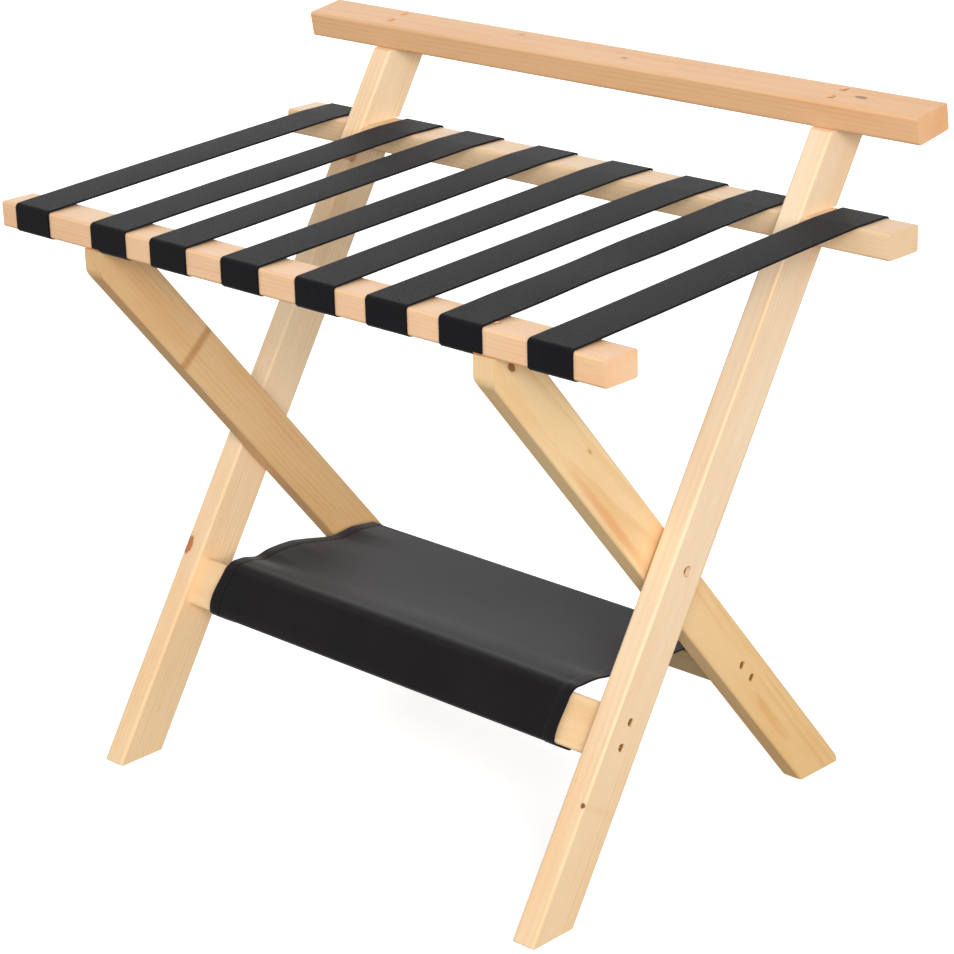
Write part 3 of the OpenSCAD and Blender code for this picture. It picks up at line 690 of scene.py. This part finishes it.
# %% The shelf's path
canvas_t = 0.0012
cloth_tuck = 0.0289       # what is folded behind each stretcher, from its corner
canvas_lift = clear + canvas_t / 2


def stretcher_corner(node, lean, up, back, extra=0.0):
    """A point by a leaning stretcher: up and back are -1 or 1 for its sides, and extra is a
    distance down from that corner along its face."""
    m = middle_of(node)
    a, b = up * (0.022 + canvas_lift) - extra, back * (0.011 + canvas_lift)
    s, c = sin(lean), cos(lean)
    return (m.y + a * s + b * c, m.z + a * c - b * s)


front_nose = stretcher_corner("front_stretcher", long_lean, 1, -1)
rear_edge = stretcher_corner("rear_stretcher", -short_lean, 1, 1)
shelf_line, shelf_gone = rounded(
    [stretcher_corner("front_stretcher", long_lean, -1, 1, -cloth_tuck),
     stretcher_corner("front_stretcher", long_lean, -1, 1),
     stretcher_corner("front_stretcher", long_lean, -1, -1), front_nose, rear_edge,
     stretcher_corner("rear_stretcher", -short_lean, 1, 1, cloth_tuck)],
    [0.0028, 0.0028, 0.012, 0.0034])


def nearest_s(point):
    """How far along the shelf's path its nearest point to a corner is."""
    return shelf_gone[np.argmin(np.hypot(*(shelf_line - np.array(point)).T))]


nose_s, edge_s = nearest_s(front_nose), nearest_s(rear_edge)
foot_s = nearest_s(stretcher_corner("front_stretcher", long_lean, -1, -1))
print("shelf cloth", round(shelf_gone[-1] * 1000), "mm long")

# %% The shelf's waves
left_x, right_x = -0.2085, 0.2066
mm = 0.001
behind = np.array([0, 8, 16, 24, 31, 37, 43, 58, 74, 95, 116, 129, 151, 165, 176]) * mm
left_wave = np.array([.2, 1.6, 2.7, 1.0, -.5, 1.2, 3.4, 4.9, 5.4, 2.6, -.9, -2, 1.7, .8, 0]) * mm
right_wave = np.array([0, .8, 2.1, 2.4, 2.2, 1.1, .6, 0, -.6, -.8, -.6, -.3, 0, 0, 0]) * mm
inner_wave = np.array([.2, 1.2, 1.8, 1.6, 1.2, .7, .2, -.5, -1, -1.3, -1.1, -.9, -.4, -.1, 0]) * mm


def wave(s, heights):
    """Heights joined by straight lines over the distance behind the nose, then smoothed
    by averaging over 12 mm either side."""
    fine = np.linspace(-0.02, 0.2, 441)
    raw = np.interp(fine, behind, heights, left=0, right=0)
    bell = np.exp(-(np.linspace(-2, 2, 33)) ** 2)
    return np.interp(s - nose_s, fine, np.convolve(raw, bell / bell.sum(), "same"))


def shelf_height(s, x):
    """Belly: amount(x) times sin(pi u^0.65), u from the stretcher's foot to its nose.
    A low bell over the nose softens it, and the cloth lies closer just behind the foot.
    Waves: the middle's, pulled to each side's by a bell curve of the distance from it."""
    u = np.clip((s - foot_s) / (nose_s - foot_s), 0, 1)
    share = (x - left_x) / (right_x - left_x)
    belly = (0.006 - 0.0024 * share) * np.sin(pi * u ** 0.65)
    near_left = np.exp(-((x - left_x) / 0.045) ** 2)
    near_right = np.exp(-((x - right_x) / 0.04) ** 2)
    middle = wave(s, inner_wave) * (1 + 0.3 * np.sin(x * 21 + 1))
    belly = belly + 0.0016 * np.exp(-((s - nose_s) / 0.009) ** 2)
    tuck = np.clip((foot_s - 0.001 - s) / 0.003, 0, 1)
    tuck = tuck * np.clip((s - foot_s + 0.009) / 0.004, 0, 1)
    belly = belly - 0.0004 * tuck
    return (belly + middle + near_left * (wave(s, left_wave) - middle)
            + near_right * (wave(s, right_wave) - middle))


print("tallest wave", round(float(shelf_height(shelf_gone, left_x).max()) * 1000, 1), "mm")

# %% Make the shelf cloth
hem = np.array([0, 1, 2.5, 4.5, 6.5, 8, 8.9, 9.4, 9.9, 10.8, 11.3, 12, 14, 18]) * mm
inside = np.linspace(left_x + 0.024, right_x - 0.024, 56)
columns = np.concatenate([left_x + hem, inside, right_x - hem[::-1]])
cloth_x, cloth_h = flat_loop(columns, canvas_t)
from_side = np.minimum(cloth_x - left_x, right_x - cloth_x)
fold = 0.00045 * np.clip((0.0115 - from_side) / 0.0006, 0, 1)
fold = fold - 0.00025 * np.exp(-((from_side - 0.0094) / 0.0006) ** 2)
cloth_h = cloth_h + np.where(cloth_h > 0, fold, 0)
grid_s = np.repeat(shelf_gone[:, None], len(cloth_x), 1)
y, z, ny, nz = on_path(shelf_line, shelf_gone, grid_s)
out = cloth_h[None, :] + shelf_height(grid_s, cloth_x[None, :])
grid_x = np.broadcast_to(cloth_x[None, :], grid_s.shape)
shelf = band_mesh("shelf_canvas", np.stack([grid_x, y + ny * out, z + nz * out], -1),
                  np.stack([grid_x - left_x, grid_s], -1))
shelf.data.materials.append(canvas)
print("shelf cloth:", len(shelf.data.polygons), "faces")

# %% [markdown]
# ## Hem stitches
# A row of lockstitch holds each hem down about 9 mm in from the side. Every stitch is the
# same little spindle, so the whole row is one array: spindle points times stitch places.

# %% Make the hem stitches
def stitches(name, x, start, end, pitch=0.0034, length=0.0025, thick=0.00022):
    """Each stitch is four rings of six points on a spindle: along the path, the place is
    its middle plus t times half its length, and the radius is thick times sqrt(1 - t^2 / 1.2),
    sunk by a little t^2 at the ends where the thread dives into the cloth."""
    middle = np.arange(start, end, pitch)
    t = np.array([-0.95, -0.45, 0.45, 0.95])
    turn = np.arange(6) * pi / 3
    s = (middle[:, None] + t * length / 2)[:, :, None] + 0 * turn
    r = (thick * np.sqrt(1 - t ** 2 / 1.2))[None, :, None]
    y, z, ny, nz = on_path(shelf_line, shelf_gone, s)
    out = shelf_height(s, x) + canvas_t / 2 + 0.0003 - 0.0002 * t[None, :, None] ** 2
    out = out + r * np.sin(turn)
    points = np.stack([x + r * np.cos(turn) + 0 * s, y + ny * out, z + nz * out], -1)
    ring = (np.arange(3)[:, None] * 6 + np.arange(6)).ravel()
    nxt = (np.arange(3)[:, None] * 6 + np.roll(np.arange(6), -1)).ravel()
    sides = np.stack([ring, nxt, nxt + 6, ring + 6], -1)
    base = (np.arange(len(middle)) * 24)[:, None, None]
    quads = (sides[None] + base).reshape(-1, 4).tolist()
    caps = np.stack([np.arange(5, -1, -1), 18 + np.arange(6)])
    caps = (caps[None] + base).reshape(-1, 6).tolist()
    mesh = bpy.data.meshes.new(name)
    mesh.from_pydata(points.reshape(-1, 3).tolist(), [], quads + caps)
    layer = mesh.uv_layers.new(name="cloth")
    corner = np.zeros(len(mesh.loops), np.int32)
    mesh.loops.foreach_get("vertex_index", corner)
    uv = np.stack([np.broadcast_to(turn * thick, s.shape), s], -1).reshape(-1, 2)
    layer.data.foreach_set("uv", uv[corner].astype(np.float32).ravel())
    mesh.polygons.foreach_set("use_smooth", np.ones(len(mesh.polygons), bool))
    mesh.update()
    piece = bpy.data.objects.new(name, mesh)
    bpy.context.collection.objects.link(piece)
    piece.data.materials.append(thread)
    return piece


sewn = [stitches("hem_stitches_left", left_x + 0.0094, foot_s + 0.003, edge_s - 0.002),
        stitches("hem_stitches_right", right_x - 0.0094, foot_s + 0.003, edge_s - 0.002)]
print("stitches:", [len(p.data.polygons) for p in sewn], "faces")

# %% Bake the shelf and its stitches in place and hide the solid shelf
for piece in (shelf, *sewn):
    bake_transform(piece)
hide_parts("shelf_cloth")

# %% [markdown]
# ## Floor and light
# A plain near-white sweep and big soft lights, as in a small studio. One large panel hangs
# in front, above and to the right, the room's own pale light fills the shadows, and the
# light that comes up from below is weaker, so the undersides stay darker than the tops. The
# floor is only seen by the camera, so its brightness doesn't have to match the light that
# it would throw back.

# %% Floor, world and lights
def studio_floor():
    """A square 20 m each way from the middle, a hair under the feet."""
    mesh = bpy.data.meshes.new("studio_floor")
    corners = np.array([(-20, -20), (20, -20), (20, 20), (-20, 20)], float)
    points = np.column_stack([corners, np.full(4, -0.0002)])
    mesh.from_pydata(points.tolist(), [], [(0, 1, 2, 3)])
    floor = bpy.data.objects.new("studio_floor", mesh)
    bpy.context.collection.objects.link(floor)
    m, t, shader = new_finish("white sweep")
    speck = cloud(t, add(t, "ShaderNodeTexCoord").outputs["Object"], 30.0, 2.0)
    t.links.new(mix(t, speck, (0.90, 0.90, 0.90, 1), (0.93, 0.93, 0.93, 1)),
                shader.inputs["Base Color"])
    shader.inputs["Roughness"].default_value = 0.9
    shader.inputs["Specular IOR Level"].default_value = 0.1
    shader.inputs["Emission Color"].default_value = (1, 1, 1, 1)
    shader.inputs["Emission Strength"].default_value = 0.5
    mesh.materials.append(m)
    floor.visible_diffuse = floor.visible_glossy = False
    return floor


def panel(name, place_at, target, size, power):
    """A square light panel that faces its target."""
    light = bpy.data.lights.new(name, "AREA")
    light.shape, light.size, light.energy = "SQUARE", size, power
    lamp = bpy.data.objects.new(name, light)
    bpy.context.collection.objects.link(lamp)
    lamp.location = place_at
    aim = Vector(target) - Vector(place_at)
    lamp.rotation_euler = aim.to_track_quat("-Z", "Y").to_euler()
    return lamp


studio_floor()
world = bpy.data.worlds.new("pale room")
world.use_nodes = True
bpy.context.scene.world = world
sky = world.node_tree
sky.nodes.clear()
height = add(sky, "ShaderNodeSeparateXYZ",
             {0: add(sky, "ShaderNodeTexCoord").outputs["Generated"]}).outputs[2]
shade = mix(sky, fade(sky, height, -0.35, 0.05), (0.26, 0.25, 0.24, 1), (0.62, 0.62, 0.63, 1))
glow = add(sky, "ShaderNodeBackground", {"Color": shade, "Strength": 1.0}).outputs[0]
white = add(sky, "ShaderNodeBackground", {"Color": (1, 1, 1, 1), "Strength": 1.3}).outputs[0]
seen = add(sky, "ShaderNodeLightPath").outputs["Is Camera Ray"]
both = add(sky, "ShaderNodeMixShader", {0: seen, 1: glow, 2: white}).outputs[0]
add(sky, "ShaderNodeOutputWorld", {"Surface": both})
panel("key panel", (3.7, -3.2, 2.2), (0, 0, 0.3), 2.6, 226)
panel("rear fill", (-3.4, 3.4, 1.6), (0, 0, 0.3), 2.6, 70)
bpy.context.scene.view_settings.view_transform = "Standard"
print("studio ready")
